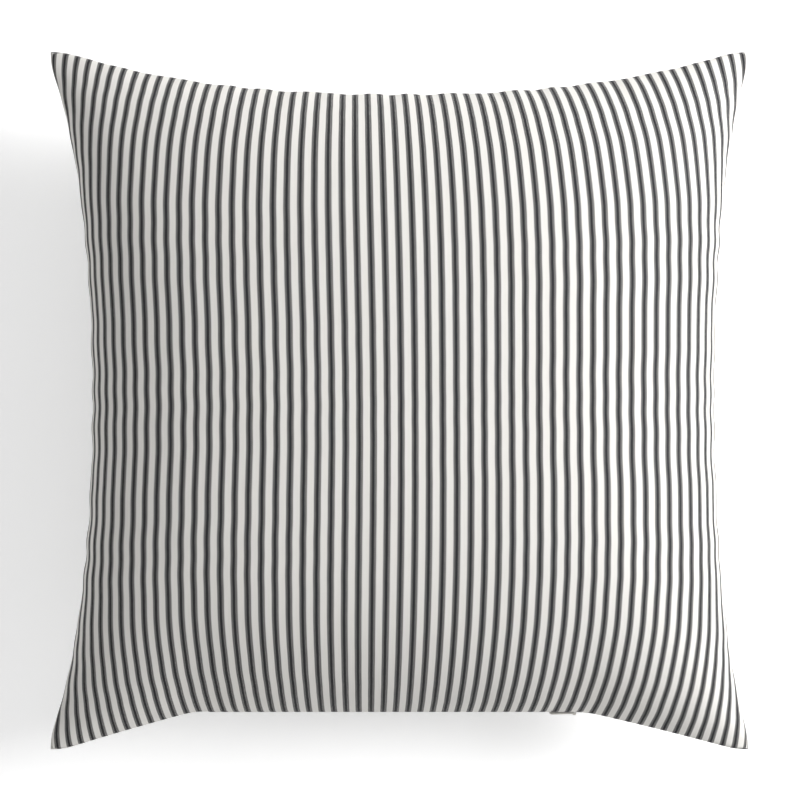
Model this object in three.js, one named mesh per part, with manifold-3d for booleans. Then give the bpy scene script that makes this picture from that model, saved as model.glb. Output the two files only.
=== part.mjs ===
// Throw pillow: a striped cotton cover with a concealed zip in its lower seam, and a
// filled insert. It lies on its back: +Z is up through the front panel, the surface that
// it rests on is z = 0, and the zipped seam faces -Y. Millimetres.

import * as THREE from 'three';
import { mergeVertices } from 'three/addons/utils/BufferGeometryUtils.js';
import Module from 'manifold-3d';

const wasm = await Module();
wasm.setup();

// Cover
const coverSide = 506; // corner to corner along a seam
const seamInset = 33; // how far the middle of a plain seam pulls in
const zipSeamInset = 27.5; // the same on the zipped seam
const frontCrown = 80; // rise of the front above the seam
const backCrown = 80; // depth of the back below the seam, before it flattens
const settle = 7; // how much of the back's depth the pillow's weight flattens
const fullness = 0.42; // exponent of the crown: smaller is boxier
const clothThickness = 0.9;
const seamAllowance = 10;
const seamGap = 1; // between the two seam allowances, where the seam thread lies

// Insert
const insertCloth = 0.6;
const insertSlack = 1.5; // between the cover and the insert's crown
const fillSlack = 0.4; // between the insert's cloth and its fill

// Zip
const zipLength = 270; // from the lower stop to the upper stops
const zipEase = 5; // straight seam past each end of the zip
const zipSeamPower = 1.4; // how the seam leaves its straight stretch
const lipEase = 0.6; // between each folded edge over the zip and the slider's bridge
const lipDepth = 3; // from the folded edge to the parallel part of the allowance
const tapeThickness = 0.5;
const tapeWidth = 7.6;
const tapeEndGap = 1; // end of the tape short of the end of the straight seam
const tapeRowSetback = 3; // the row that holds the tape, in from the raw edge
const coilHeight = 1;
const coilDepth = 2.3;
const stopLength = 3;
const sliderLength = 9;
const sliderWall = 0.6;
const sliderPlate = 0.9;
const postThickness = 0.8;
const postLength = 3.2;
const bridgeWall = 0.7;
const bridgeThickness = 1.2;
const bridgeStandOff = 1.2; // pull's pivot outside the folded edges
const pullLength = 18;
const pullWidth = 5.2;
const pullThickness = 0.9;
const pullBar = 0.8;

// Stitching and labels
const threadThickness = 0.4;
const threadWidth = 1;
const threadSetback = 0.8; // seam thread inside the folded edge
const overlockWidth = 2;
const labelThickness = 0.4;

const clearance = 0.3; // between pieces that touch
const slotClearance = 0.1; // beside the coils, past the slider's post and walls
const stepsAlong = 8; // grid steps from the middle to the seam, along Y
const stepsOverZip = 5; // grid steps from the middle to the end of the straight seam
const stepsPastZip = 6;

// Worked out from the sizes above
const halfSide = coverSide / 2;
const straightHalf = zipLength / 2 + zipEase;
const lipLine = -(halfSide - zipSeamInset);
const seamHeight = backCrown - settle;
const lipHalf = bridgeThickness / 2 + lipEase;
const coilInner = postThickness / 2 + clearance; // the post runs between the coils
const coilOuter = coilInner + coilHeight;
const tapeStart = lipDepth + threadThickness;
const coilStart = tapeStart + tapeThickness + clearance + slotClearance;
const wallInner = coilOuter + clearance;
const wallOuter = wallInner + sliderWall;
const tapeInner = wallOuter + clearance;
const tapeOuter = tapeInner + tapeThickness;
const zipThreadInner = tapeOuter + clearance;
const zipAllowance = zipThreadInner + threadThickness + clearance;
const allowanceTop = seamGap / 2 + clothThickness;
const bridgeBore = pullBar * Math.SQRT1_2 + clearance; // the pull's square bar turns in it
const bridgeRadius = bridgeBore + bridgeWall;
const overlockInner = allowanceTop + clearance;
const overlockOuter = overlockInner + threadThickness;
const overlockEnd = seamAllowance + clearance + threadThickness;
const tapeEnd = tapeStart + tapeWidth;
const insertEdge = Math.max(overlockEnd, tapeEnd) + 2 * clearance;
const insertDrop = clothThickness + insertSlack;
const fillEdge = insertEdge + insertCloth + fillSlack;
const fillDrop = insertDrop + insertCloth + fillSlack;

const ticking = { color: 0xe9e6de, roughness: 0.9, metalness: 0 };
const plainCotton = { color: 0xf2f0ea, roughness: 0.95, metalness: 0 };
const thread = { color: 0xe2dfd6, roughness: 0.85, metalness: 0 };
const tapeCloth = { color: 0xdedbd2, roughness: 0.85, metalness: 0 };
const nylon = { color: 0xe4e2dc, roughness: 0.45, metalness: 0 };
const enamel = { color: 0xd9d7d0, roughness: 0.35, metalness: 0.6 };
const satinLabel = { color: 0xf7f7f5, roughness: 0.6, metalness: 0 };
const fibre = { color: 0xfafafa, roughness: 1, metalness: 0 };

const pillow = new THREE.Group();

function addPart(name, geometry, finish) {
  const mesh = new THREE.Mesh(geometry, new THREE.MeshStandardMaterial(finish));
  mesh.name = name;
  pillow.add(mesh);
  return mesh;
}

// Grid places from -1 to 1, given those from 0 to 1.
function mirrored(half) {
  return [...half.slice(1).reverse().map((place) => -place), ...half];
}

function steps(count, place) {
  return Array.from({ length: count + 1 }, (_, k) => place(k / count));
}

// Close-set towards the seam, where the panels turn steepest.
const eased = (share) => Math.sin((share * Math.PI) / 2);
const straightShare = straightHalf / halfSide;
const across = mirrored([
  ...steps(stepsOverZip, (share) => share * straightShare),
  ...steps(stepsPastZip, (share) => straightShare + (1 - straightShare) * eased(share)).slice(1),
]);
const along = mirrored(steps(stepsAlong, eased));

// How far the seam at the +Y or -Y end pulls in, at s across the pillow.
function endInset(s, t) {
  if (t > 0) {
    return seamInset * (1 - s * s);
  }
  const past = Math.max(0, Math.abs(s) * halfSide - straightHalf) / (halfSide - straightHalf);
  return zipSeamInset * (1 - past ** zipSeamPower);
}

const atEnd = (place) => Math.abs(place) > 1 - 1e-9;
const overZip = (s, t) => t === -1 && Math.abs(s) <= straightShare + 1e-9;

// Plan position, s across and t along from -1 to 1, edge mm in from the seam. Across, the
// edge distance counts only past the straight seam, so that every layer is straight there.
function planX(s, t, edge) {
  const past = Math.max(0, Math.abs(s) - straightShare) / (1 - straightShare);
  return s * (halfSide - seamInset * (1 - t * t)) - Math.sign(s) * edge * past;
}

function planY(s, t, edge) {
  return t * (halfSide - edge - endInset(s, t));
}

const crownShare = (s, t) => ((1 - s * s) * (1 - t * t)) ** fullness;

// A layer is a copy of the outer face, edge mm in from the seam and drop mm under the crown.
function frontPoint(layer, s, t) {
  const rim = layer.rim(s, t);
  const z = rim + (frontCrown - layer.drop - rim) * crownShare(s, t);
  return new THREE.Vector3(planX(s, t, layer.edge), planY(s, t, layer.edge), seamHeight + z);
}

// The back lies flat where the rest surface stops it.
function backPoint(layer, s, t) {
  const rim = layer.rim(s, t);
  const z = rim + (backCrown - layer.drop - rim) * crownShare(s, t);
  const height = Math.max(seamHeight - z, layer.drop);
  return new THREE.Vector3(planX(s, t, layer.edge), planY(s, t, layer.edge), height);
}

const lipRim = (s, t) => (overZip(s, t) ? lipHalf : seamGap / 2);
const coverOuter = { edge: 0, drop: 0, rim: lipRim };
const plainRim = () => seamGap / 2;
const insertOuter = { edge: insertEdge, drop: insertDrop, rim: plainRim };
const insertInner = { edge: insertEdge + insertCloth, drop: insertDrop + insertCloth, rim: plainRim };
const fillFace = { edge: fillEdge, drop: fillDrop, rim: plainRim };

// Rows of points over grid places sPlaces by tPlaces.
function gridOf(point, sPlaces, tPlaces) {
  return tPlaces.map((t) => sPlaces.map((s) => point(s, t)));
}

// The grid's border, once round, anticlockwise seen from +Z.
function border(grid) {
  const last = grid.length - 1;
  const side = grid[0].length - 1;
  return [
    ...grid[0].slice(0, side),
    ...grid.slice(0, last).map((row) => row[side]),
    ...grid[last].slice(1).reverse(),
    ...grid.slice(1).reverse().map((row) => row[0]),
  ];
}

// A closed body between an upper and a lower grid, joined round the border through the
// given loops of points.
function bodyBetween(upper, loops, lower) {
  const points = [];
  const numbers = new Map();
  const number = (point) => {
    if (!numbers.has(point)) {
      numbers.set(point, points.push(point) - 1);
    }
    return numbers.get(point);
  };
  const index = [];
  const quad = (a, b, c, d) => {
    index.push(...[a, b, c, a, c, d].map(number));
  };
  // Cut so that the cut runs from the middle of the pillow towards its corners.
  const patch = (a, b, c, d) => {
    const towardsCorner = (a.x + c.x) * (a.y + c.y) > 0;
    quad(...(towardsCorner ? [a, b, c, d] : [b, c, d, a]));
  };
  for (let j = 0; j < upper.length - 1; j++) {
    for (let i = 0; i < upper[0].length - 1; i++) {
      patch(upper[j][i], upper[j][i + 1], upper[j + 1][i + 1], upper[j + 1][i]);
      patch(lower[j][i], lower[j + 1][i], lower[j + 1][i + 1], lower[j][i + 1]);
    }
  }
  const rings = [border(upper), ...loops, border(lower)];
  for (let r = 0; r < rings.length - 1; r++) {
    const count = rings[r].length;
    for (let k = 0; k < count; k++) {
      const next = (k + 1) % count;
      quad(rings[r][k], rings[r + 1][k], rings[r + 1][next], rings[r][next]);
    }
  }
  return indexed(points, index);
}

function indexed(points, index) {
  const geometry = new THREE.BufferGeometry().setFromPoints(points);
  geometry.setIndex(index);
  geometry.computeVertexNormals();
  return geometry;
}

// The same body turned over, with its faces still pointing out.
function turnedOver(geometry) {
  const index = Array.from(geometry.index.array);
  for (let k = 0; k < index.length; k += 3) {
    [index[k + 1], index[k + 2]] = [index[k + 2], index[k + 1]];
  }
  geometry.setIndex(index);
  geometry.computeVertexNormals();
  return geometry;
}

// The turned-in edge of a cover panel: loops of points from the fold to its raw edge and
// back. It stands further from the seam plane over the zip.
function allowanceLoops(face) {
  const places = border(gridOf((s, t) => ({ s, t }), across, along));
  const loop = (edge, lift) => places.map(({ s, t }) => {
    const z = (overZip(s, t) ? zipAllowance : seamGap / 2) + lift;
    return new THREE.Vector3(planX(s, t, edge), planY(s, t, edge), seamHeight + face * z);
  });
  return [
    loop(lipDepth, 0),
    loop(seamAllowance, 0),
    loop(seamAllowance, clothThickness),
    loop(lipDepth, clothThickness),
  ];
}

// A point of the cover's outer face, moved in along the normal there.
function under(point, face, depth, s, t) {
  const at = (u, v) => point(coverOuter, u, v);
  const step = 1e-3;
  const normal = at(s + step, t).sub(at(s - step, t)).cross(at(s, t + step).sub(at(s, t - step)));
  return at(s, t).addScaledVector(normal.normalize(), -face * depth);
}

// The inner face's border, inside the fold: further in at a corner, where the cloth turns
// back at a shallow angle, and further up over the zip.
function foldPoint(face, s, t) {
  const inFold = overZip(s, t) ? 1.6 : 1;
  const edge = clothThickness * (atEnd(s) && atEnd(t) ? 2.4 : inFold);
  const lift = clothThickness * (overZip(s, t) ? 3 : 1);
  const z = seamHeight + face * (lipRim(s, t) + lift);
  return new THREE.Vector3(planX(s, t, edge), planY(s, t, edge), z);
}

// The cover's inner face keeps the cloth's thickness, but for its border.
function innerPoint(point, face, s, t) {
  const onBorder = atEnd(s) || atEnd(t);
  return onBorder ? foldPoint(face, s, t) : under(point, face, clothThickness, s, t);
}

function makeCover() {
  const panel = (point, face) => bodyBetween(
    gridOf((s, t) => point(coverOuter, s, t), across, along),
    allowanceLoops(face),
    gridOf((s, t) => innerPoint(point, face, s, t), across, along),
  );
  addPart('cover_front_panel', panel(frontPoint, 1), ticking);
  addPart('cover_back_panel', turnedOver(panel(backPoint, -1)), ticking);
}

function makeInsert() {
  const sheet = (point, layer) => gridOf((s, t) => point(layer, s, t), across, along);
  const front = bodyBetween(sheet(frontPoint, insertOuter), [], sheet(frontPoint, insertInner));
  const back = turnedOver(
    bodyBetween(sheet(backPoint, insertOuter), [], sheet(backPoint, insertInner)),
  );
  addPart('insert_front_panel', front, plainCotton);
  addPart('insert_back_panel', back, plainCotton);
  const fill = bodyBetween(sheet(frontPoint, fillFace), [], sheet(backPoint, fillFace));
  addPart('insert_fill', fill, fibre);
}

// The corners of a bar's section, anticlockwise, between two depths and two heights.
function box(depthA, depthB, zA, zB) {
  return [[depthA, zA], [depthB, zA], [depthB, zB], [depthA, zB]];
}

// A bar that follows one seam, taken anticlockwise: section holds [edge, z] corners,
// anticlockwise too, with z from the seam plane.
function alongSeam(places, section) {
  const outline = section.map(([edge, z]) => new THREE.Vector2(edge, z));
  const points = places.flatMap(({ s, t }) => section.map(([edge, z]) => (
    new THREE.Vector3(planX(s, t, edge), planY(s, t, edge), seamHeight + z)
  )));
  const corners = section.length;
  const start = (places.length - 1) * corners;
  const index = [];
  for (let k = 0; k < start; k += corners) {
    for (let c = 0; c < corners; c++) {
      const next = (c + 1) % corners;
      const [a, b, d, e] = [k + c, k + next, k + corners + next, k + corners + c];
      index.push(a, b, d, a, d, e);
    }
  }
  for (const [a, b, c] of THREE.ShapeUtils.triangulateShape(outline, [])) {
    index.push(a, c, b, start + a, start + b, start + c);
  }
  return indexed(points, index);
}

// Each plain seam, short of the corners, and the two ends of the zipped one.
const seams = {
  top: across.slice(1, -1).reverse().map((s) => ({ s, t: 1 })),
  left: along.slice(1, -1).reverse().map((t) => ({ s: -1, t })),
  right: along.slice(1, -1).map((t) => ({ s: 1, t })),
  bottom_left: across.slice(1, stepsPastZip).map((s) => ({ s, t: -1 })),
  bottom_right: across.slice(-stepsPastZip, -1).map((s) => ({ s, t: -1 })),
};

// A lockstitch row between the allowances and an overlocked edge round both raw edges.
function makeSeams() {
  const half = threadThickness / 2;
  const lockstitch = box(threadSetback, threadSetback + threadWidth, -half, half);
  const mouth = seamAllowance - overlockWidth;
  const rawEdge = seamAllowance + clearance;
  const overlock = [
    [mouth, -overlockOuter],
    [overlockEnd, -overlockOuter],
    [overlockEnd, overlockOuter],
    [mouth, overlockOuter],
    [mouth, overlockInner],
    [rawEdge, overlockInner],
    [rawEdge, -overlockInner],
    [mouth, -overlockInner],
  ];
  for (const [side, places] of Object.entries(seams)) {
    addPart(`seam_thread_${side}`, alongSeam(places, lockstitch), thread);
    addPart(`overlock_thread_${side}`, alongSeam(places, overlock), thread);
  }
}

// The insert is sewn on three sides, turned, filled and closed on the fourth.
function makeInsertSeams() {
  const half = threadThickness / 2;
  const section = box(insertEdge, insertEdge + insertCloth, -half, half);
  const sewn = [
    ...across.slice(1).map((s) => ({ s, t: -1 })),
    ...along.slice(1).map((t) => ({ s: 1, t })),
    ...across.slice(1, -1).reverse().map((s) => ({ s, t: 1 })),
  ];
  addPart('insert_seam_thread', alongSeam(sewn, section), thread);
  addPart('insert_closing_thread', alongSeam(seams.left, section), thread);
}

// A label is a patch of two layers over whole grid steps, so that it follows the cloth.
function makeLabels() {
  const patch = (outer, inner, sPlaces, tPlaces) => bodyBetween(
    gridOf(outer, sPlaces, tPlaces),
    [],
    gridOf(inner, sPlaces, tPlaces),
  );
  const careDepth = clothThickness + clearance;
  const careLabel = patch(
    (s, t) => under(backPoint, -1, careDepth, s, t),
    (s, t) => under(backPoint, -1, careDepth + labelThickness, s, t),
    across.slice(1, 4),
    along.slice(stepsAlong - 3, stepsAlong - 1),
  );
  addPart('care_label', turnedOver(careLabel), satinLabel);
  const insertLabelDrop = insertDrop - clearance - labelThickness;
  const layer = (edge, drop) => ({ edge, drop, rim: () => allowanceTop });
  const outerFace = layer(insertEdge - 3 * clearance, insertLabelDrop);
  const innerFace = layer(insertEdge - 2 * clearance, insertLabelDrop + labelThickness);
  const insertLabel = patch(
    (s, t) => frontPoint(outerFace, s, t),
    (s, t) => frontPoint(innerFace, s, t),
    across.slice(-4, -1),
    along.slice(stepsAlong + 2, stepsAlong + 4),
  );
  addPart('insert_label', insertLabel, satinLabel);
}

// An outline of [depth, z] corners, depth from the folded edges, drawn out along X.
function alongZip(outline, from, to) {
  const shape = new THREE.Shape(outline.map(([depth, z]) => (
    new THREE.Vector2(lipLine + depth, seamHeight + z)
  )));
  const geometry = new THREE.ExtrudeGeometry(shape, { depth: to - from, bevelEnabled: false });
  const axes = new THREE.Matrix4().makeBasis(
    new THREE.Vector3(0, 1, 0),
    new THREE.Vector3(0, 0, 1),
    new THREE.Vector3(1, 0, 0),
  );
  return geometry.applyMatrix4(axes).translate(from, 0, 0);
}

const mirroredOutline = (outline) => outline.map(([depth, z]) => [depth, -z]).reverse();

const zipHalf = zipLength / 2;
const coilEnd = zipHalf - stopLength - clearance;

// Each tape is an angle: one leg behind the folds, the other sewn to the allowance.
function makeZipTapes() {
  const tape = [
    [tapeStart, coilInner + slotClearance],
    [tapeStart + tapeThickness, coilInner + slotClearance],
    [tapeStart + tapeThickness, tapeInner],
    [tapeEnd, tapeInner],
    [tapeEnd, tapeOuter],
    [tapeStart, tapeOuter],
  ];
  const coil = box(coilStart, coilStart + coilDepth, coilInner, coilOuter);
  const row = seamAllowance - tapeRowSetback;
  const stitch = box(row, row + threadWidth, zipThreadInner, zipThreadInner + threadThickness);
  const stop = box(coilStart, coilStart + coilDepth, coilInner, wallInner);
  const tapeHalf = straightHalf - tapeEndGap;
  const sides = { front: (outline) => outline, back: mirroredOutline };
  for (const [side, turned] of Object.entries(sides)) {
    addPart(`zip_tape_${side}`, alongZip(turned(tape), -tapeHalf, tapeHalf), tapeCloth);
    addPart(`zip_coil_${side}`, alongZip(turned(coil), -zipHalf, coilEnd), nylon);
    addPart(`zip_tape_thread_${side}`, alongZip(turned(stitch), -zipHalf, zipHalf), thread);
    addPart(`zip_top_stop_${side}`, alongZip(turned(stop), zipHalf - stopLength, zipHalf), enamel);
  }
  const stopEnd = -zipHalf - clearance;
  const lowerStop = box(coilStart, coilStart + coilDepth, -coilOuter, coilOuter);
  addPart('zip_bottom_stop', alongZip(lowerStop, stopEnd - stopLength, stopEnd), enamel);
}

function asSolid(geometry) {
  const bare = geometry.clone();
  bare.deleteAttribute('normal');
  bare.deleteAttribute('uv');
  const merged = mergeVertices(bare, 1e-4);
  return new wasm.Manifold(new wasm.Mesh({
    numProp: 3,
    vertProperties: new Float32Array(merged.attributes.position.array),
    triVerts: new Uint32Array(merged.index.array),
  }));
}

function asGeometry(solid) {
  const mesh = solid.getMesh();
  const geometry = new THREE.BufferGeometry();
  geometry.setAttribute('position', new THREE.BufferAttribute(mesh.vertProperties, 3));
  geometry.setIndex(new THREE.BufferAttribute(mesh.triVerts, 1));
  geometry.computeVertexNormals();
  return geometry;
}

const sliderRest = coilEnd - sliderLength / 2 - clearance;
const pivotLine = lipLine - bridgeStandOff;

function uprightCylinder(radius, height) {
  const cylinder = new THREE.CylinderGeometry(radius, radius, height, 24);
  return cylinder.rotateX(Math.PI / 2).translate(sliderRest, pivotLine, seamHeight);
}

// A channel round both coils, a thin post out between them, and the bridge for the pull.
function makeSlider() {
  const wallStart = coilStart - slotClearance;
  const plateStart = coilStart + coilDepth + clearance;
  const plateEnd = plateStart + sliderPlate;
  const channel = [
    [wallStart, -wallOuter],
    [plateEnd, -wallOuter],
    [plateEnd, wallOuter],
    [wallStart, wallOuter],
    [wallStart, wallInner],
    [plateStart, wallInner],
    [plateStart, -wallInner],
    [wallStart, -wallInner],
  ];
  const half = sliderLength / 2;
  const body = asSolid(alongZip(channel, sliderRest - half, sliderRest + half));
  const postOutline = box(
    bridgeBore - bridgeStandOff + slotClearance,
    plateStart + sliderPlate / 2,
    -postThickness / 2,
    postThickness / 2,
  );
  const postHalf = postLength / 2;
  const post = asSolid(alongZip(postOutline, sliderRest - postHalf, sliderRest + postHalf));
  const bridge = asSolid(uprightCylinder(bridgeRadius, bridgeThickness));
  const bore = asSolid(uprightCylinder(bridgeBore, 2 * bridgeThickness));
  const slider = body.add(post).add(bridge).subtract(bore);
  addPart('zip_slider', asGeometry(slider), enamel);
}

// A drop-shaped pull, lying along the closed zip, with its bar through the bridge.
function makePull() {
  const frame = bridgeThickness / 2 + clearance;
  const head = frame + sliderWall;
  const tipRadius = pullWidth / 2;
  const outline = new THREE.Shape();
  outline.moveTo(-pullBar / 2, -head);
  outline.lineTo(bridgeRadius + 2 * clearance + pullBar, -head);
  outline.lineTo(pullLength - tipRadius, -tipRadius);
  outline.absarc(pullLength - tipRadius, 0, tipRadius, -Math.PI / 2, Math.PI / 2, false);
  outline.lineTo(bridgeRadius + 2 * clearance + pullBar, head);
  outline.lineTo(-pullBar / 2, head);
  outline.closePath();
  const window = new THREE.Path();
  window.moveTo(pullBar / 2, -frame);
  window.lineTo(pullBar / 2, frame);
  window.lineTo(bridgeRadius + clearance, frame);
  window.lineTo(bridgeRadius + clearance, -frame);
  window.closePath();
  outline.holes.push(window);
  const geometry = new THREE.ExtrudeGeometry(outline, {
    depth: pullThickness,
    bevelEnabled: false,
    curveSegments: 10,
  });
  geometry.translate(0, 0, -pullThickness / 2);
  const axes = new THREE.Matrix4().makeBasis(
    new THREE.Vector3(-1, 0, 0),
    new THREE.Vector3(0, 0, 1),
    new THREE.Vector3(0, 1, 0),
  );
  const pull = addPart('zip_pull', geometry.applyMatrix4(axes), enamel);
  pull.position.set(sliderRest, pivotLine, seamHeight);
}

makeCover();
makeSeams();
makeZipTapes();
makeSlider();
makePull();
makeInsert();
makeInsertSeams();
makeLabels();

export default pillow;
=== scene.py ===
import bpy
import bmesh
import numpy as np
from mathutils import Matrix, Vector


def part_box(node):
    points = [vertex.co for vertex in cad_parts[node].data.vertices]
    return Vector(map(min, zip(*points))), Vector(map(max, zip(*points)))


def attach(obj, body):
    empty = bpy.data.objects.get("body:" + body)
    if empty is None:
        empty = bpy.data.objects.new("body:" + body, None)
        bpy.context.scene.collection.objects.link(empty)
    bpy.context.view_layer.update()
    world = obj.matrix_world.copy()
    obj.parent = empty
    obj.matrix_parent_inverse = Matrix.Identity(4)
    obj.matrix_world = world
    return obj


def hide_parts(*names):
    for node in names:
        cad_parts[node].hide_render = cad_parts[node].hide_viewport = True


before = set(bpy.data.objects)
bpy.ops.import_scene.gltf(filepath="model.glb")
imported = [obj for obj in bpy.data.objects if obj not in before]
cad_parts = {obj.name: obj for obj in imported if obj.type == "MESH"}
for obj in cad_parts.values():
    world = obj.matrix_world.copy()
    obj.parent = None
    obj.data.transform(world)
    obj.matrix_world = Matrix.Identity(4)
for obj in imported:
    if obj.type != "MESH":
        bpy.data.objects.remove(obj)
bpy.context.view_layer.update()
scene = bpy.context.scene
print("frame loaded")

# Camera: straight above the pillow, with +Y up the picture
cameraSetup = {
    "height": 0.75,  # above the seams
    "lens": 46.5,
    "sensor": 36,
    "centre": (0.0005, 0.0005),
}
cadHalfGap = 0.0005  # the CAD's front panel stops this far above the plane of the seams
frontLow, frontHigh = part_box("cover_front_panel")
halfSide = frontHigh[0]
seamHeight = frontLow[2] - cadHalfGap

cameraData = bpy.data.cameras.new("camera")
cameraData.lens = cameraSetup["lens"]
cameraData.sensor_width = cameraSetup["sensor"]
camera = bpy.data.objects.new("camera", cameraData)
camera.location = (*cameraSetup["centre"], seamHeight + cameraSetup["height"])
scene.collection.objects.link(camera)
scene.camera = camera
print("camera set")


# Meshes
def newMesh(name, points, *faceSets):
    mesh = bpy.data.meshes.new(name)
    faces = [face for faceSet in faceSets for face in faceSet.tolist()]
    mesh.from_pydata(points.tolist(), [], faces)
    mesh.polygons.foreach_set("use_smooth", np.ones(len(faces), bool))
    mesh.update()
    piece = bpy.data.objects.new(name, mesh)
    scene.collection.objects.link(piece)
    return piece


def addMap(piece, name, flat):
    loops = np.empty(len(piece.data.loops), dtype=np.int32)
    piece.data.loops.foreach_get("vertex_index", loops)
    uvMap = piece.data.uv_layers.new(name=name)
    uvMap.data.foreach_set("uv", flat[loops].ravel())


def gridPlaces(low, high, countS, countT):
    placesS = np.linspace(low[0], high[0], countS + 1)
    placesT = np.linspace(low[1], high[1], countT + 1)
    return np.meshgrid(placesS, placesT, indexing="xy")


def gridFaces(numbers):
    corners = (numbers[:-1, :-1], numbers[:-1, 1:], numbers[1:, 1:], numbers[1:, :-1])
    return np.stack(corners, axis=-1).reshape(-1, 4)


def addWall(piece, thickness, offset=-1):
    wall = piece.modifiers.new("cloth thickness", "SOLIDIFY")
    wall.thickness = thickness
    wall.offset = offset


def finishPiece(piece, body, material):
    piece.data.materials.clear()
    piece.data.materials.append(material)
    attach(piece, body)
    return piece


# Materials
def addNode(tree, kind, **settings):
    node = tree.nodes.new("ShaderNode" + kind)
    for name, value in settings.items():
        setattr(node, name, value)
    return node


def plug(tree, value, socket):
    if isinstance(value, (int, float, tuple)):
        socket.default_value = value
    else:
        tree.links.new(value, socket)


def mathNode(tree, operation, *inputs):
    node = addNode(tree, "Math", operation=operation)
    for k, value in enumerate(inputs):
        plug(tree, value, node.inputs[k])
    return node.outputs[0]


def mixColours(tree, share, first, second):
    mix = addNode(tree, "Mix", data_type="RGBA")
    plug(tree, share, mix.inputs["Factor"])
    plug(tree, first, mix.inputs["A"])
    plug(tree, second, mix.inputs["B"])
    return mix.outputs["Result"]


def noiseNode(tree, place, scale, detail=2.0):
    noise = addNode(tree, "TexNoise")
    noise.inputs["Scale"].default_value = scale
    noise.inputs["Detail"].default_value = detail
    tree.links.new(place, noise.inputs["Vector"])
    return noise.outputs[0]


def raiseSurface(tree, shader, height, distance):
    bump = addNode(tree, "Bump")
    bump.inputs["Distance"].default_value = distance
    bump.inputs["Strength"].default_value = 1.0
    tree.links.new(height, bump.inputs["Height"])
    tree.links.new(bump.outputs[0], shader.inputs["Normal"])


def newMaterial(name, roughness, specular=0.3, sheen=0.0, metallic=0.0):
    material = bpy.data.materials.new(name)
    material.use_nodes = True
    tree = material.node_tree
    shader = tree.nodes["Principled BSDF"]
    shader.inputs["Roughness"].default_value = roughness
    shader.inputs["Specular IOR Level"].default_value = specular
    shader.inputs["Sheen Weight"].default_value = sheen
    shader.inputs["Metallic"].default_value = metallic
    return material, tree, shader


def mapPlaces(tree, name):
    split = addNode(tree, "SeparateXYZ")
    tree.links.new(addNode(tree, "UVMap", uv_map=name).outputs[0], split.inputs[0])
    return split.outputs[0], split.outputs[1]


def joined(tree, x, y, z=0.0):
    join = addNode(tree, "CombineXYZ")
    for value, socket in zip((x, y, z), join.inputs):
        plug(tree, value, socket)
    return join.outputs[0]


# Seams, in plan: each side curves in between its blunt corners, and the side with the
# zip is straight over it
seamPlan = {
    "left": 0.0345,
    "right": 0.0285,
    "top": 0.031,
    "power": 2.3,
    "ear": 0.018,  # the seams leave a corner straight for about this far
    "zipInset": 0.0275,
    "zipHalf": (0.149, 0.134),  # straight further where the pull comes to when it is open
    "zipBend": 0.003,
    "scallop": 0.0006,
    "scallopLength": 0.034,
    "scallopSway": (1.3, 0.31),  # keeps the waves from being all alike
    "scallopFade": 20,
}


# Share of a side's inset that is kept near a corner: d^2 / (d^2 + ear^2), with d the
# distance from the corner
def cornerShare(s):
    away = halfSide * (1 - np.abs(s))
    return away**2 / (away**2 + seamPlan["ear"] ** 2)


# inset(1 - |s|^power) with the corners kept back
def sideInset(s, inset):
    return inset * (1 - np.abs(s) ** seamPlan["power"]) * cornerShare(s)


# A slight wave of the seam line itself, dying away into the panel as |far|^fade
def scallops(s, far):
    sway, rate = seamPlan["scallopSway"]
    turn = 2 * np.pi * halfSide * s / seamPlan["scallopLength"]
    wave = seamPlan["scallop"] * np.sin(turn + sway * np.sin(rate * turn)) * (1 - s**2)
    return wave * np.sign(far) * np.abs(far) ** seamPlan["scallopFade"]


# The zipped side's inset: level over the zip, then straight to the corner, with the
# bend between them smoothed
def pastZip(s):
    bend = seamPlan["zipBend"]
    straight = np.where(s < 0, *seamPlan["zipHalf"])
    past = bend * np.log1p(np.exp((np.abs(s) * halfSide - straight) / bend))
    return np.clip(past / (halfSide - straight), 0, 1)


# x = s(half - inset), y = t(half - edge - inset of that end), with s and t from -1 to 1;
# across, the edge distance counts only past the straight seam
def planPoint(s, t, edge=0.0):
    inset = np.where(s < 0, seamPlan["left"], seamPlan["right"])
    x = s * (halfSide - sideInset(t, inset)) - np.sign(s) * edge * pastZip(s) + scallops(t, s)
    past = pastZip(s)
    zipped = seamPlan["zipInset"] * (1 - past) * (1 - past * (1 - cornerShare(s)))
    y = t * (halfSide - edge - np.where(t > 0, sideInset(s, seamPlan["top"]), zipped))
    return x, y + scallops(s, np.clip(t, 0, None))


# The cover's two panels, stuffed tight: nearly flat in the middle and rolling over
# to the seams
coverCloth = {
    "cut": 0.534,  # side of a panel between its seams
    "cells": 208,
    "crown": 0.080,
    "rest": 0.073,  # depth at which the surface underneath stops the back
    "restBlend": 0.002,
    "acrossStripes": (2.75, 0.37),  # flatness of the middle, and steepness at the seams:
    "alongStripes": (3.6, 0.78),  # a smaller exponent is steeper
    "cornerEase": 0.55,  # how much gentler the sides become towards the corners
    "crowding": 0.8,
    "profilePoints": 4001,
    "pucker": 0.0008,
    "puckerReach": 0.011,
    "puckerWaves": (251, 163, 337),  # three waves along a seam, in radians per metre
    "puckerShares": (0.5, 0.3, 0.35),
    "puckerBeat": 31,  # the third wave comes and goes at this rate
    "drift": (0.0030, -0.0015, -0.0025),  # how the stripes wander along their length
}


# (1 - |place|^power) ^ exponent: 1 in the middle, falling to the seam
def rollOver(place, way):
    power, exponent = coverCloth[way]
    return np.clip(1 - np.abs(place) ** power, 0, None) ** exponent


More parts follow.
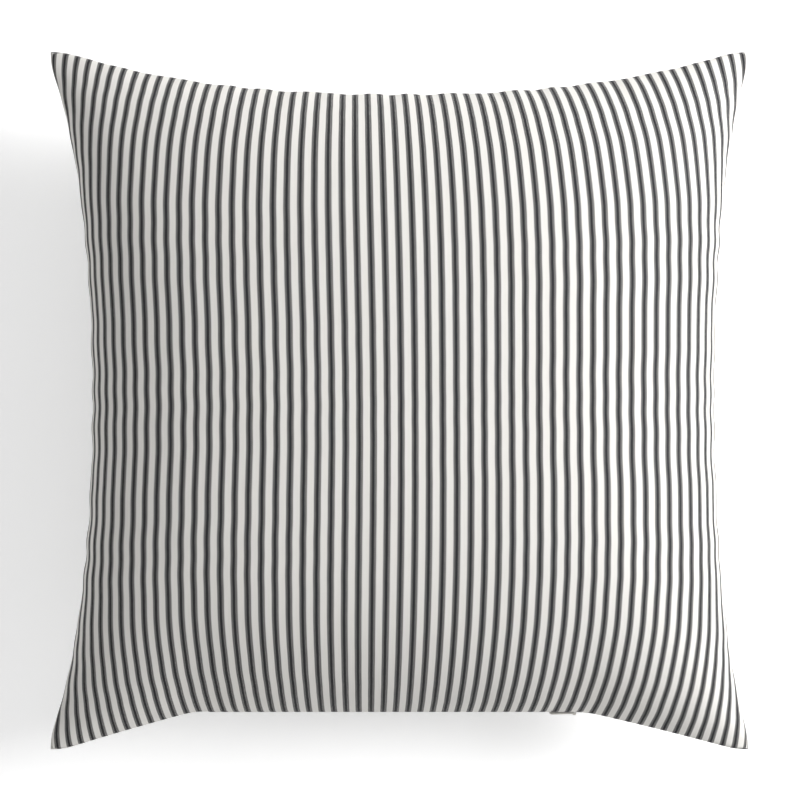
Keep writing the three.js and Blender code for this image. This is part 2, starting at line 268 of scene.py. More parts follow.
# Where cloth at s between seam and seam comes to lie in plan: the same share of the
# profile's length
def evenCloth(s, halfWidth, way):
    plan = np.sin(np.linspace(-np.pi / 2, np.pi / 2, coverCloth["profilePoints"]))
    rise = coverCloth["crown"] * rollOver(plan, way)
    run = np.hypot(np.diff(plan) * halfWidth, np.diff(rise))
    length = np.concatenate([[0], np.cumsum(run)])
    return np.interp(s, 2 * length / length[-1] - 1, plan)


# Plan places move from even along the seams to even along the crowned profile
def clothPlaces(s, t):
    halfWidth = halfSide - seamPlan["top"]
    crowding = coverCloth["crowding"]
    evenS = evenCloth(s, halfWidth, "acrossStripes")
    evenT = evenCloth(t, halfWidth, "alongStripes")
    across = s + rollOver(t, "alongStripes") ** crowding * (evenS - s)
    along = t + rollOver(s, "acrossStripes") ** crowding * (evenT - t)
    return across, along


# Cloth eased on to a seam puckers: three sine waves along the seam, growing and dying
# away with the distance d from it as (d / reach) e^(1 - d / reach); each seam starts them
# at other phases
def puckers(s, t):
    total = np.zeros_like(s)
    first, second, third = coverCloth["puckerWaves"]
    shares = coverCloth["puckerShares"]
    for k, (seam, far) in enumerate(((s, t), (t, s), (s, -t), (t, -s))):
        place = seam * halfSide
        beat = np.sin(place * coverCloth["puckerBeat"] + k)
        wave = shares[0] * np.sin(place * first + 1.7 * k)
        wave = wave + shares[1] * np.sin(place * second + 2.9 * k + 1)
        wave = wave + shares[2] * np.sin(place * third + 0.6 * k + 2) * beat
        depth = halfSide * np.clip(1 - far, 0, None) / coverCloth["puckerReach"]
        total = total + wave * depth * np.exp(1 - depth) * (1 - seam**4)
    return total


# A face of the stuffed form: crown x rollOver(across) x rollOver(along), the first of them
# raised to 1 + ease(1 - rollOver(along)), edge in from the seam and drop under the crown;
# the back is softly stopped where it rests
def stuffedSurface(s, t, face, edge=0.0, drop=0.0, pucker=1.0):
    across, along = clothPlaces(s, t)
    x, y = planPoint(across, along, edge)
    side, end = rollOver(across, "acrossStripes"), rollOver(along, "alongStripes")
    share = end * side ** (1 + coverCloth["cornerEase"] * 2 * (1 - end))
    rise = (coverCloth["crown"] - drop) * share
    rise = rise + pucker * coverCloth["pucker"] * puckers(s, t)
    if face < 0:
        blend = coverCloth["restBlend"]
        floorDepth = coverCloth["rest"] - drop
        rise = rise - blend * np.log1p(np.exp((rise - floorDepth) / blend))
        rise = np.minimum(rise, floorDepth)
    return np.stack([x, y, seamHeight + face * rise], axis=-1)


def borderOf(grid):
    return np.concatenate([grid[0, :-1], grid[:-1, -1], grid[-1, :0:-1], grid[:0:-1, 0]])


coverPanel = {
    "thickness": 0.0006,
    "allowance": 0.010,
    "seamGap": 0.0003,
    "zipOpen": 0.140,  # half the length over which the seam isn't sewn
    "zipFade": 0.008,
    "lipGap": 0.0018,
    "lipDepth": 0.003,
    "lipSpread": 0.0044,
    "turnIn": 0.0007,  # where the cloth has turned in at the seam
    "fold": 0.0009,
    "foldReach": 0.05,  # share of the half side over which the fold's roundness fades
}


# Where each point lies on the flat cloth, from -1 to 1: its share of the length over the
# form from seam to seam
def flatShare(grid, axis):
    step = np.linalg.norm(np.diff(grid, axis=axis), axis=-1)
    run = np.cumsum(step, axis=axis)
    run = np.concatenate([np.zeros_like(run.take([0], axis=axis)), run], axis=axis)
    return 2 * run / run.take([-1], axis=axis) - 1


# Share of a parted seam: 1 on the border over the zip, fading to 0 past its ends
def zipShare(x, t):
    fade = coverPanel["zipFade"]
    return (t == -1) * np.clip((coverPanel["zipOpen"] + fade / 2 - np.abs(x)) / fade, 0, 1)


# The outer face, standing off the seam's plane by the fold's roundness and on its border
# by half the gap
def outerFace(s, t, face):
    grid = stuffedSurface(s, t, face)
    onZip = zipShare(grid[..., 0], t)
    gap = 0.5 * (coverPanel["seamGap"] + (coverPanel["lipGap"] - coverPanel["seamGap"]) * onZip)
    fromSeam = np.minimum(1 - np.abs(s), 1 - np.abs(t))
    near = np.clip(1 - fromSeam / coverPanel["foldReach"], 0, 1)
    grid[..., 2] += face * coverPanel["fold"] * near
    grid[0, :, 2] = seamHeight + face * gap[0]
    for row in (grid[-1], grid[:, 0], grid[:, -1]):
        row[:, 2] = seamHeight + face * 0.5 * coverPanel["seamGap"]
    return grid, onZip, gap


# A panel's outer face, then rings of points that turn in at the seam and run back along
# the allowance; over the zip the allowance spreads away from the seam plane
def makePanel(name, face):
    s, t = gridPlaces((-1, -1), (1, 1), coverCloth["cells"], coverCloth["cells"])
    grid, onZip, gap = outerFace(s, t, face)
    flatS, flatT = flatShare(grid, 1), flatShare(grid, 0)
    half = coverCloth["cut"] / 2
    steady, slope, bend = coverCloth["drift"]
    drift = steady + slope * t + bend * t**2
    numbers = np.arange(s.size).reshape(s.shape)
    points = [grid.reshape(-1, 3)]
    faces = [gridFaces(numbers)]
    flat = [np.stack([flatS * half - drift, flatT * half], axis=-1).reshape(-1, 2)]
    rimS, rimT, rimZip, rimGap = (borderOf(g) for g in (s, t, onZip, gap))
    rimFlatS, rimFlatT, rimDrift = (borderOf(g) for g in (flatS, flatT, drift))
    ring = borderOf(numbers)
    for edge in (coverPanel["turnIn"], coverPanel["lipDepth"], coverPanel["allowance"]):
        spread = min(1.0, edge / coverPanel["lipDepth"])
        height = rimGap + rimZip * spread * coverPanel["lipSpread"]
        ringX, ringY = planPoint(rimS, rimT, edge)
        nextRing = np.arange(len(rimS)) + sum(len(p) for p in points)
        points.append(np.stack([ringX, ringY, seamHeight + face * height], axis=-1))
        beyond = half + edge
        flat.append(np.stack([rimFlatS * beyond - rimDrift, rimFlatT * beyond], axis=-1))
        faces.append(np.stack([ring, nextRing, np.roll(nextRing, -1), np.roll(ring, -1)], axis=-1))
        ring = nextRing
    faces = np.vstack(faces)
    if face < 0:
        faces = faces[:, ::-1]
    piece = newMesh(name, np.vstack(points), faces)
    addMap(piece, "weave", np.vstack(flat))
    addWall(piece, coverPanel["thickness"])
    return piece


ticking = {
    "stripes": 57.84,  # repeats across a panel
    "first": 0.42,  # first stripe's middle from the seam, in repeats
    "cream": (0.67, 0.656, 0.628, 1),
    "charcoal": (0.012, 0.012, 0.015, 1),
    "warpPitch": 0.00040,
    "weftPitch": 0.00050,
    "relief": 0.00008,
    "slub": (2400.0, 45.0),  # thick and thin places per metre, across and along the warp
    "slubTone": 0.10,
    "cloud": 14.0,  # broad unevenness per metre
    "cloudTone": 0.05,
    "leastTone": 0.92,
}

# Cream share across one repeat, from the middle of its cream ground: a grey band, the
# dark core, a gap and a fine grey line
stripeStops = [(0.000, 1.0), (0.238, 1.0), (0.258, 0.2), (0.395, 0.2), (0.415, 0.02),
               (0.575, 0.02), (0.595, 0.24), (0.665, 0.26), (0.685, 0.2), (0.742, 0.2),
               (0.765, 1.0)]


# Cream share from a ramp over fract(u / repeat + start)
def stripeShare(tree, u):
    repeat = coverCloth["cut"] / ticking["stripes"]
    start = coverCloth["cut"] / 2 / repeat - ticking["first"] + 0.5
    phase = mathNode(tree, "FRACT", mathNode(tree, "ADD", mathNode(tree, "DIVIDE", u, repeat), start))
    share = addNode(tree, "ValToRGB")
    ramp = share.color_ramp
    while len(ramp.elements) < len(stripeStops):
        ramp.elements.new(0.5)
    for element, (place, value) in zip(ramp.elements, stripeStops):
        element.position = place
        element.color = (value, value, value, 1)
    tree.links.new(phase, share.inputs[0])
    return share.outputs[0]


# Twill: the weft shows as a dot where fract(v / 3 picks + end / 3) is within 1/6 of 1/2
def weftDots(tree, warp, v):
    end = mathNode(tree, "FLOOR", warp)
    pick = mathNode(tree, "DIVIDE", v, 3 * ticking["weftPitch"])
    turn = mathNode(tree, "FRACT", mathNode(tree, "ADD", pick, mathNode(tree, "DIVIDE", end, 3.0)))
    away = mathNode(tree, "ABSOLUTE", mathNode(tree, "SUBTRACT", turn, 0.5))
    return mathNode(tree, "LESS_THAN", away, 1 / 6)


# Yarn-dyed ticking: cream ground, and cream weft dots over the charcoal warp; both are
# toned by slubs and a broad unevenness
def makeTicking():
    material, tree, shader = newMaterial("ticking", 0.9, specular=0.12, sheen=0.03)
    u, v = mapPlaces(tree, "weave")
    share = stripeShare(tree, u)
    warp = mathNode(tree, "DIVIDE", u, ticking["warpPitch"])
    dot = weftDots(tree, warp, v)
    ground = mathNode(tree, "GREATER_THAN", share, 0.6)
    shown = mathNode(tree, "MINIMUM", mathNode(tree, "MULTIPLY", share, 3.0), 1.0)
    creamShare = mathNode(tree, "MAXIMUM", ground, mathNode(tree, "MULTIPLY", dot, shown))
    slubAcross, slubAlong = (mathNode(tree, "MULTIPLY", place, rate)
                             for place, rate in zip((u, v), ticking["slub"]))
    slub = noiseNode(tree, joined(tree, slubAcross, slubAlong), 1.0)
    cloudy = noiseNode(tree, joined(tree, u, v), ticking["cloud"])
    broad = mathNode(tree, "MULTIPLY_ADD", cloudy, ticking["cloudTone"], ticking["leastTone"])
    tone = mathNode(tree, "MULTIPLY_ADD", slub, ticking["slubTone"], broad)
    worn = addNode(tree, "VectorMath", operation="SCALE")
    tree.links.new(mixColours(tree, creamShare, ticking["charcoal"], ticking["cream"]), worn.inputs[0])
    tree.links.new(tone, worn.inputs["Scale"])
    tree.links.new(worn.outputs[0], shader.inputs["Base Color"])
    thread = mathNode(tree, "ABSOLUTE", mathNode(tree, "SINE", mathNode(tree, "MULTIPLY", warp, np.pi)))
    height = mathNode(tree, "ADD", mathNode(tree, "MULTIPLY", thread, 0.6),
                      mathNode(tree, "MULTIPLY", dot, -0.5))
    height = mathNode(tree, "ADD", height, mathNode(tree, "MULTIPLY", slub, 0.5))
    raiseSurface(tree, shader, height, ticking["relief"])
    return material


# Plain weave in one colour: |sin| of both thread counts for the bump, and a faint slub
def makePlainWeave(name, mapName, colour, pitch, relief, roughness=0.9, sheen=0.1):
    material, tree, shader = newMaterial(name, roughness, specular=0.25, sheen=sheen)
    u, v = mapPlaces(tree, mapName)
    waveU = mathNode(tree, "SINE", mathNode(tree, "MULTIPLY", u, np.pi / pitch))
    waveV = mathNode(tree, "SINE", mathNode(tree, "MULTIPLY", v, np.pi / pitch))
    height = mathNode(tree, "ABSOLUTE", mathNode(tree, "MULTIPLY", waveU, waveV))
    slub = noiseNode(tree, joined(tree, mathNode(tree, "MULTIPLY", u, 0.2 / pitch),
                                  mathNode(tree, "MULTIPLY", v, 0.02 / pitch)), 1.0)
    pale = tuple(min(1.0, c * 1.06) for c in colour) + (1,)
    dark = tuple(c * 0.86 for c in colour) + (1,)
    tree.links.new(mixColours(tree, slub, dark, pale), shader.inputs["Base Color"])
    raiseSurface(tree, shader, mathNode(tree, "ADD", height, slub), relief)
    return material


# Two plies laid round each other: a sine of length along the thread plus its turn, which raises the plies
# and darkens the grooves between them as painted shade
def makeThread(name, colour, ply):
    material, tree, shader = newMaterial(name, 0.7, specular=0.3, sheen=0.2)
    u, v = mapPlaces(tree, "twist")
    turn = mathNode(tree, "ADD", mathNode(tree, "DIVIDE", v, ply), u)
    wave = mathNode(tree, "SINE", mathNode(tree, "MULTIPLY", turn, 2 * np.pi))
    share = mathNode(tree, "MULTIPLY_ADD", wave, 0.5, 0.5)
    # painted shade: the thread's colour goes darker where the sine is low, in the grooves between the plies
    dark = tuple(c * 0.72 for c in colour) + (1,)
    tree.links.new(mixColours(tree, share, dark, (*colour, 1)), shader.inputs["Base Color"])
    raiseSurface(tree, shader, share, 0.00004)
    return material


# Colour and roughness varied by noise on Object coordinates
def makeMottled(name, colour, roughness, scale, change, relief, **look):
    material, tree, shader = newMaterial(name, roughness, **look)
    place = addNode(tree, "TexCoord").outputs["Object"]
    noise = noiseNode(tree, place, scale, 4.0)
    dark = tuple(c * (1 - change) for c in colour) + (1,)
    tree.links.new(mixColours(tree, noise, dark, (*colour, 1)), shader.inputs["Base Color"])
    rough = mathNode(tree, "MULTIPLY_ADD", noise, 0.2, roughness - 0.1)
    tree.links.new(rough, shader.inputs["Roughness"])
    raiseSurface(tree, shader, noise, relief)
    return material


tickingCloth = makeTicking()
insertCotton = makePlainWeave("insertCotton", "weave", (0.80, 0.78, 0.73), 0.0005, 0.00008)
tapeWeave = makePlainWeave("tapeWeave", "weave", (0.72, 0.70, 0.65), 0.0006, 0.0001, 0.8)
satin = makePlainWeave("satin", "weave", (0.86, 0.86, 0.84), 0.00025, 0.00003, 0.45, 0.3)
coverThread = makeThread("coverThread", (0.72, 0.70, 0.65), 0.0009)
insertThread = makeThread("insertThread", (0.76, 0.74, 0.69), 0.0011)
coilNylon = makeMottled("coilNylon", (0.72, 0.70, 0.66), 0.42, 220.0, 0.10, 0.00001, specular=0.5)
zipEnamel = makeMottled("zipEnamel", (0.66, 0.64, 0.60), 0.34, 420.0, 0.12, 0.00002,
                        specular=0.6, metallic=0.25)
fibreFill = makeMottled("fibreFill", (0.93, 0.93, 0.92), 0.95, 90.0, 0.14, 0.0012, sheen=0.3)
print("materials made")

coverFront = finishPiece(makePanel("coverFront", 1), "pillow", tickingCloth)
coverBack = finishPiece(makePanel("coverBack", -1), "pillow", tickingCloth)
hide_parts("cover_front_panel")
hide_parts("cover_back_panel")
print("cover panels made")


# A tube round each path: a ring of points at right angles to the way ahead, with the
# ends closed on a middle point
def makeTubes(name, paths, reference, radius, sides):
    points, flat, quads, tips = [], [], [], []
    turn = np.arange(sides) * 2 * np.pi / sides
    first = 0
    for path, upright in zip(paths, reference):
        ahead = np.gradient(path, axis=0)
        ahead /= np.linalg.norm(ahead, axis=1, keepdims=True)
        side = np.cross(ahead, upright)
        side /= np.linalg.norm(side, axis=1, keepdims=True)
        up = np.cross(side, ahead)
        around = np.cos(turn)[:, None] * side[:, None] + np.sin(turn)[:, None] * up[:, None]
        rings = (path[:, None] + radius * around).reshape(-1, 3)
        step = np.linalg.norm(np.diff(path, axis=0), axis=1)
        length = np.concatenate([[0], np.cumsum(step)])
        numbers = first + np.arange(len(path) * sides).reshape(len(path), sides)
        after = np.roll(numbers, -1, axis=1)
        quads.append(np.stack([numbers[:-1], numbers[1:], after[1:], after[:-1]], axis=-1).reshape(-1, 4))
        low = first + len(path) * sides
        high = low + 1
        tips.append(np.stack([np.full(sides, low), numbers[0], after[0]], axis=-1))
        tips.append(np.stack([np.full(sides, high), after[-1], numbers[-1]], axis=-1))
        points += [rings, path[:1], path[-1:]]
        mapU = np.tile(turn / (2 * np.pi), len(path))
        flat.append(np.stack([mapU, np.repeat(length, sides)], axis=-1))
        flat.append(np.array([[0, 0], [0, length[-1]]]))
        first = high + 1
    piece = newMesh(name, np.vstack(points), np.vstack(quads), np.vstack(tips))
    addMap(piece, "twist", np.vstack(flat))
    return piece


# Which way each sewn side runs, from where to where, and the side that it lies on
sewnSides = {
    "top": {"way": "s", "from": -0.985, "to": 0.985, "lies": 1},
    "left": {"way": "t", "from": -0.985, "to": 0.985, "lies": -1},
    "right": {"way": "t", "from": -0.985, "to": 0.985, "lies": 1},
    "bottom_left": {"way": "s", "from": -0.985, "to": -0.59, "lies": -1},
    "bottom_right": {"way": "s", "from": 0.59, "to": 0.985, "lies": -1},
    "bottom": {"way": "s", "from": -0.985, "to": 0.985, "lies": -1},
}
coverSides = ("top", "left", "right", "bottom_left", "bottom_right")
insertSides = ("top", "right", "bottom")

stitching = {
    "measurePoints": 400,
    "lock": {"length": 0.0027, "edge": 0.0011, "lift": 0.0005, "radius": 0.00012, "points": 6},
    "overlock": {"length": 0.0024, "edge": 0.0092, "reach": 0.0013, "lift": 0.0010,
                 "radius": 0.00011, "points": 9},
    "insert": {"length": 0.0030, "edge": 0.0119, "lift": 0.0004, "radius": 0.00014, "points": 6},
    "closing": {"length": 0.0040, "edge": 0.0119, "reach": 0.0008, "lift": 0.0008,
                "radius": 0.00018, "points": 9},
    "tape": {"length": 0.0027, "lift": 0.00035, "radius": 0.00013, "points": 6},
}


def alongSide(side, count):
    setup = sewnSides[side]
    places = np.linspace(setup["from"], setup["to"], count)
    there = np.full(count, float(setup["lies"]))
    return (places, there) if setup["way"] == "s" else (there, places)


def sideLength(s, t):
    x, y = planPoint(s, t)
    return np.concatenate([[0], np.cumsum(np.hypot(np.diff(x), np.diff(y)))])


# Even places along a side, the same number for each stitch of its length
def stitchPlaces(side, setup):
    length = sideLength(*alongSide(side, stitching["measurePoints"]))[-1]
    return alongSide(side, int(length / setup["length"] * setup["points"]))


# Lockstitch: two threads that weave past each other through the seam, at plus and minus
# lift x sin of the length gone
def lockPaths(side, setup):
    s, t = stitchPlaces(side, setup)
    x, y = planPoint(s, t, setup["edge"])
    wave = setup["lift"] * np.sin(np.pi * sideLength(s, t) / setup["length"])
    return [np.stack([x, y, seamHeight + sign * wave], axis=-1) for sign in (1, -1)]


# Overlock: one thread wound round the raw edges; depth = edge + reach cos(turn) and
# height = lift sin(turn), once round per stitch
def woundPath(side, setup):
    s, t = stitchPlaces(side, setup)
    turn = 2 * np.pi * sideLength(s, t) / setup["length"]
    x, y = planPoint(s, t, setup["edge"] + setup["reach"] * np.cos(turn))
    return np.stack([x, y, seamHeight + setup["lift"] * np.sin(turn)], axis=-1)


def sideWay(side, count):
    straight = (1.0, 0.0, 0.0) if sewnSides[side]["way"] == "s" else (0.0, 1.0, 0.0)
    return np.tile(straight, (count, 1))


upwards = np.array([0.0, 0.0, 1.0])
for side in coverSides:
    paths = lockPaths(side, stitching["lock"])
    row = makeTubes(f"seamStitches_{side}", paths, [upwards, upwards], stitching["lock"]["radius"], 5)
    finishPiece(row, "pillow", coverThread)
    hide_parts(f"seam_thread_{side}")
    path, radius = woundPath(side, stitching["overlock"]), stitching["overlock"]["radius"]
    row = makeTubes(f"overlock_{side}", [path], [sideWay(side, len(path))], radius, 4)
    finishPiece(row, "pillow", coverThread)
    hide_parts(f"overlock_thread_{side}")
print("cover stitches made")

# Zip, from the CAD nodes' own places
zipTape = {
    "half": 0.139,
    "thickness": 0.0004,
    "bend": 0.0007,
    "standing": (0.00365, 0.0009),  # depth behind the folds and height of its inner edge
    "lying": (0.0110, 0.00315),
    "behindLip": 0.0034,
}
zipCoil = {
    "pitch": 0.00135,
    "wire": 0.00020,
    "pointsPerTurn": 10,
}
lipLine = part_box("zip_tape_front")[0][1] - zipTape["behindLip"]
coilLow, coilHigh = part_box("zip_coil_front")


# The tape's section stands behind the fold, turns on a quarter circle and lies along
# the allowance; it is carried straight along the zip
def makeTape(name, face):
    (depth, low), (end, level) = zipTape["standing"], zipTape["lying"]
    bend = zipTape["bend"]
    quarter = np.linspace(0, np.pi / 2, 5)
    standing = np.stack([np.full(3, depth), np.linspace(low, level - bend, 4)[:3]], axis=-1)
    turned = np.stack([depth + bend * (1 - np.cos(quarter)), level - bend * (1 - np.sin(quarter))], axis=-1)
    lying = np.stack([np.linspace(depth + bend, end, 9)[1:], np.full(8, level)], axis=-1)
    section = np.vstack([standing, turned, lying])
    width = np.concatenate([[0], np.cumsum(np.linalg.norm(np.diff(section, axis=0), axis=1))])
    places = np.linspace(-zipTape["half"], zipTape["half"], 121)
    x, row = np.meshgrid(places, np.arange(len(section)), indexing="xy")
    y = lipLine + section[row, 0]
    z = seamHeight + face * section[row, 1]
    faces = gridFaces(np.arange(x.size).reshape(x.shape))
    if face < 0:
        faces = faces[:, ::-1]
    piece = newMesh(name, np.stack([x, y, z], axis=-1).reshape(-1, 3), faces)
    addMap(piece, "weave", np.stack([x, width[row]], axis=-1).reshape(-1, 2))
    addWall(piece, zipTape["thickness"], 0)
    return piece, float(width[-1])


# A coil is a flattened helix along the zip: depth and height go round once a pitch
def makeCoil(name, face):
    wire = zipCoil["wire"]
    turns = (coilHigh[0] - coilLow[0] - 2 * wire) / zipCoil["pitch"]
    turn = np.linspace(0, 2 * np.pi * turns, int(turns * zipCoil["pointsPerTurn"]) + 1)
    x = coilLow[0] + wire + zipCoil["pitch"] * turn / (2 * np.pi)
    middleY, middleZ = (coilLow[1] + coilHigh[1]) / 2, (coilLow[2] + coilHigh[2]) / 2
    y = middleY + ((coilHigh[1] - coilLow[1]) / 2 - wire) * np.cos(turn)
    z = middleZ + ((coilHigh[2] - coilLow[2]) / 2 - wire) * np.sin(turn)
    z = seamHeight + face * (z - seamHeight)
    path = np.stack([x, y, z], axis=-1)
    return makeTubes(name, [path], [np.array([1.0, 0.0, 0.0])], wire, 5)


metalEdges = {
    "merge": 1e-6,
    "flat": 0.02,  # faces that turn by less than this are one
    "sharp": 0.6,
    "segments": 2,
}


# A copy of a hard CAD node, its triangles merged into flat faces and its edges rounded
def softened(node, name, body, width):
    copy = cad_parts[node].copy()
    copy.data = copy.data.copy()
    copy.name = name
    copy.hide_render = False
    for key in list(copy.keys()):
        del copy[key]
    scene.collection.objects.link(copy)
    merged = bmesh.new()
    merged.from_mesh(copy.data)
    bmesh.ops.remove_doubles(merged, verts=merged.verts, dist=metalEdges["merge"])
    bmesh.ops.dissolve_limit(merged, angle_limit=metalEdges["flat"], verts=merged.verts,
                             edges=merged.edges)
    merged.to_mesh(copy.data)
    merged.free()
    edge = copy.modifiers.new("rounded edges", "BEVEL")
    edge.width = width
    edge.segments = metalEdges["segments"]
    edge.limit_method = "ANGLE"
    edge.angle_limit = metalEdges["sharp"]
    finishPiece(copy, body, zipEnamel)
    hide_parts(node)


# The row that sews a tape on: one thread in a sine wave along the CAD row's middle
def makeTapeStitches(side):
    setup = stitching["tape"]
    low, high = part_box(f"zip_tape_thread_{side}")
    count = int((high[0] - low[0]) / setup["length"] * setup["points"])
    x = np.linspace(low[0], high[0], count)
    wave = setup["lift"] * np.sin(np.pi * (x - low[0]) / setup["length"])
    middleY, middleZ = (low[1] + high[1]) / 2, (low[2] + high[2]) / 2
    path = np.stack([x, np.full(count, middleY), middleZ + wave], axis=-1)
    return makeTubes(f"tapeStitches_{side}", [path], [upwards], setup["radius"], 5)


for side, face in (("front", 1), ("back", -1)):
    tape, tapeWidth = makeTape(f"zipTape_{side}", face)
    finishPiece(tape, "pillow", tapeWeave)
    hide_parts(f"zip_tape_{side}")
    coil = makeCoil(f"zipCoil_{side}", face)
    finishPiece(coil, "pillow", coilNylon)
    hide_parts(f"zip_coil_{side}")
    row = makeTapeStitches(side)
    finishPiece(row, "pillow", coverThread)
    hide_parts(f"zip_tape_thread_{side}")
    softened(f"zip_top_stop_{side}", f"topStop_{side}", "pillow", 0.00012)
softened("zip_bottom_stop", "bottomStop", "pillow", 0.0002)
softened("zip_slider", "slider", "slider", 0.0001)
softened("zip_pull", "pull", "pull", 0.00016)
print("zip made")

# Insert: two plain panels sewn edge to edge round a fibre fill
insertSetup = {
    "edge": 0.0116,
    "drop": 0.0026,
    "rim": 0.0003,
    "pucker": 0.3,  # share of the cover's puckers
    "cut": 0.512,
    "thickness": 0.0005,
    "cells": 120,
    "fillEdge": 0.0132,
    "fillDrop": 0.0040,
    "fillLumps": 0.0003,
}


def makeInsertPanel(name, face):
    cells = insertSetup["cells"]
    s, t = gridPlaces((-1, -1), (1, 1), cells, cells)
    grid = stuffedSurface(s, t, face, insertSetup["edge"], insertSetup["drop"],
                          insertSetup["pucker"])
    grid[..., 2] += face * insertSetup["rim"]
    faces = gridFaces(np.arange(s.size).reshape(s.shape))
    if face < 0:
        faces = faces[:, ::-1]
    piece = newMesh(name, grid.reshape(-1, 3), faces)
    half = insertSetup["cut"] / 2
    addMap(piece, "weave", np.stack([s * half, t * half], axis=-1).reshape(-1, 2))
    addWall(piece, insertSetup["thickness"])
    finishPiece(piece, "pillow", insertCotton)
    return piece


# Both faces share their border; the lumps are two crossed sine waves, each of them swayed
# by the other direction
def makeFill():
    cells = insertSetup["cells"]
    s, t = gridPlaces((-1, -1), (1, 1), cells, cells)
    faces, points = [], []
    numbers = np.arange(s.size).reshape(s.shape)
    inner = np.zeros(s.shape, bool)
    inner[1:-1, 1:-1] = True
    lumps = np.sin(s * 31 + 2 * np.sin(t * 9)) * np.sin(t * 27 + 1.5 * np.sin(s * 11))
    for face in (1, -1):
        grid = stuffedSurface(s, t, face, insertSetup["fillEdge"], insertSetup["fillDrop"], 0.0)
        grid[..., 2] += face * insertSetup["fillLumps"] * lumps * inner
        if face > 0:
            points.append(grid.reshape(-1, 3))
            faces.append(gridFaces(numbers))
        else:
            points.append(grid[inner])
            under = numbers.copy()
            under[inner] = s.size + np.arange(inner.sum())
            faces.append(gridFaces(under)[:, ::-1])
    piece = newMesh("insertFill", np.vstack(points), *faces)
    return finishPiece(piece, "pillow", fibreFill)


insertFront = makeInsertPanel("insertFront", 1)
insertBack = makeInsertPanel("insertBack", -1)
insertFill = makeFill()
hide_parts("insert_front_panel")
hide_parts("insert_back_panel")
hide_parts("insert_fill")

sewnPaths, sewnWays = [], []
for side in insertSides:
    sewnPaths += lockPaths(side, stitching["insert"])
    sewnWays += [upwards, upwards]
row = makeTubes("insertStitches", sewnPaths, sewnWays, stitching["insert"]["radius"], 5)
finishPiece(row, "pillow", insertThread)
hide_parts("insert_seam_thread")
path, radius = woundPath("left", stitching["closing"]), stitching["closing"]["radius"]
row = makeTubes("closingStitches", [path], [sideWay("left", len(path))], radius, 5)
finishPiece(row, "pillow", insertThread)
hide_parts("insert_closing_thread")
print("insert made")

# Labels: plain patches between two places of the panel under them
labels = {
    "cells": (24, 30),
    "thickness": 0.00025,
    "care": {"low": (-0.94, -0.54), "high": (-0.80, -0.36), "face": -1, "edge": 0.0,
             "drop": 0.0, "lift": -0.0013},
    "insert": {"low": (0.78, 0.35), "high": (0.91, 0.52), "face": 1, "edge": insertSetup["edge"],
               "drop": insertSetup["drop"], "lift": 0.0003},
}


# The panel's own form, moved off it by lift along its normal
def makeLabel(name, setup):
    s, t = gridPlaces(setup["low"], setup["high"], *labels["cells"])
    grid = stuffedSurface(s, t, setup["face"], setup["edge"], setup["drop"], 0.0)
    normal = np.cross(np.gradient(grid, axis=1), np.gradient(grid, axis=0)) * setup["face"]
    normal /= np.linalg.norm(normal, axis=-1, keepdims=True)
    grid = grid + normal * setup["lift"]
    width = np.linalg.norm(np.diff(grid, axis=1), axis=-1).sum(axis=1).mean()
    length = np.linalg.norm(np.diff(grid, axis=0), axis=-1).sum(axis=0).mean()
    faces = gridFaces(np.arange(s.size).reshape(s.shape))
    if setup["face"] < 0:
        faces = faces[:, ::-1]
    piece = newMesh(name, grid.reshape(-1, 3), faces)
    u = (s - setup["low"][0]) / (setup["high"][0] - setup["low"][0]) * width
    v = (t - setup["low"][1]) / (setup["high"][1] - setup["low"][1]) * length
    addMap(piece, "weave", np.stack([u, v], axis=-1).reshape(-1, 2))
    addWall(piece, labels["thickness"], 0)
    finishPiece(piece, "pillow", satin)
    return piece, (round(float(width), 4), round(float(length), 4))


careLabel, careSize = makeLabel("careLabel", labels["care"])
insertLabel, insertLabelSize = makeLabel("insertLabel", labels["insert"])
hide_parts("care_label")
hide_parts("insert_label")
print("labels made", careSize, insertLabelSize)

# Floor and light
backdrop = {
    "hub": 0.02,
    "flat": 4.0,
    "bend": 3.0,
    "wall": 3.0,
    "bendSteps": 24,
    "spokes": 96,
    "white": 0.95,
    "glow": 0.26,
}


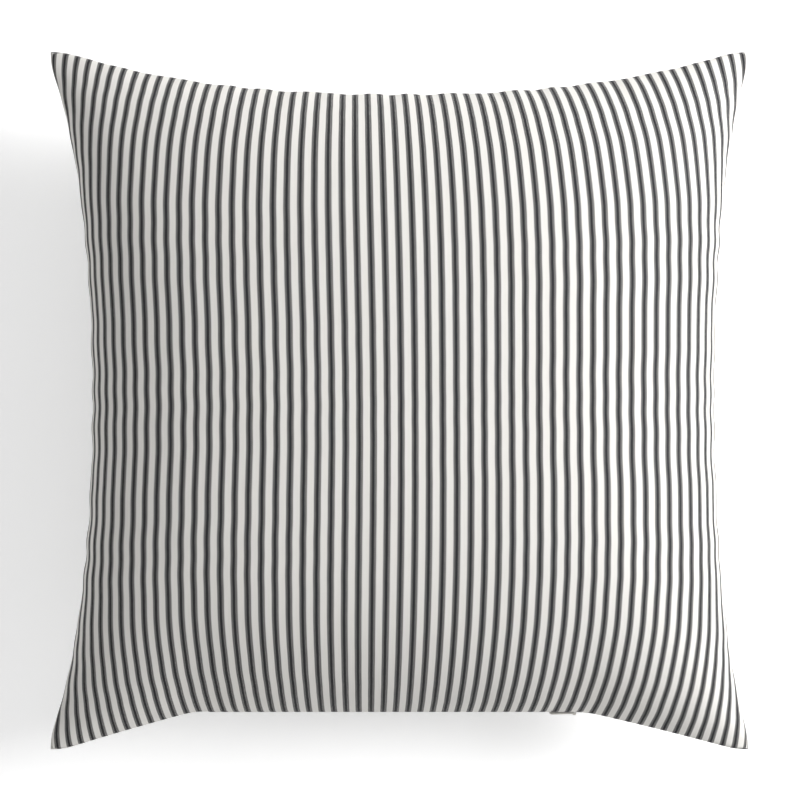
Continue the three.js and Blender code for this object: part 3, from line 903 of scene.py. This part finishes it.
# A studio sweep: a level disc whose edge turns up on a quarter circle into a round wall
def makeBackdrop():
    rise = np.linspace(0, np.pi / 2, backdrop["bendSteps"] + 1)
    out = backdrop["flat"] + backdrop["bend"] * np.sin(rise)
    up = backdrop["bend"] * (1 - np.cos(rise))
    out = np.concatenate([[backdrop["hub"]], out, [out[-1]]])
    up = np.concatenate([[0], up, [up[-1] + backdrop["wall"]]])
    turn = np.arange(backdrop["spokes"]) * 2 * np.pi / backdrop["spokes"]
    radius, angle = np.meshgrid(out, turn)
    height = np.meshgrid(up, turn)[0]
    points = np.stack([radius * np.cos(angle), radius * np.sin(angle), height], axis=-1)
    numbers = np.arange(radius.size).reshape(radius.shape)
    middle = numbers[:, 0][None]
    ring = np.concatenate([numbers, numbers[:1]])
    return newMesh("floor", points.reshape(-1, 3), gridFaces(ring)[:, ::-1], middle)


floor = makeBackdrop()
floorMaterial = newMaterial("floor", 0.8)[0]
floorShader = floorMaterial.node_tree.nodes["Principled BSDF"]
floorShader.inputs["Base Color"].default_value = (backdrop["white"], backdrop["white"], backdrop["white"], 1)
floorShader.inputs["Emission Color"].default_value = (1, 1, 1, 1)
floorShader.inputs["Emission Strength"].default_value = backdrop["glow"]
floor.data.materials.append(floorMaterial)

lightAim = Vector((0, 0, 0.05))
worldStrength = 0.33
lights = {
    "window": {"place": (1.3, 0.42, 0.80), "size": 0.7, "power": 38},
    "ceiling": {"place": (0.25, 0.1, 1.7), "size": 1.2, "power": 2},
}
for name, setup in lights.items():
    lamp = bpy.data.lights.new(name, "AREA")
    lamp.energy = setup["power"]
    lamp.size = setup["size"]
    holder = bpy.data.objects.new(name, lamp)
    holder.location = setup["place"]
    aim = lightAim - holder.location
    holder.rotation_euler = aim.to_track_quat("-Z", "Y").to_euler()
    scene.collection.objects.link(holder)
world = bpy.data.worlds.new("studio")
world.use_nodes = True
world.node_tree.nodes["Background"].inputs["Color"].default_value = (1, 1, 1, 1)
world.node_tree.nodes["Background"].inputs["Strength"].default_value = worldStrength
scene.world = world
scene.view_settings.view_transform = "Standard"
print("stage and lights set")
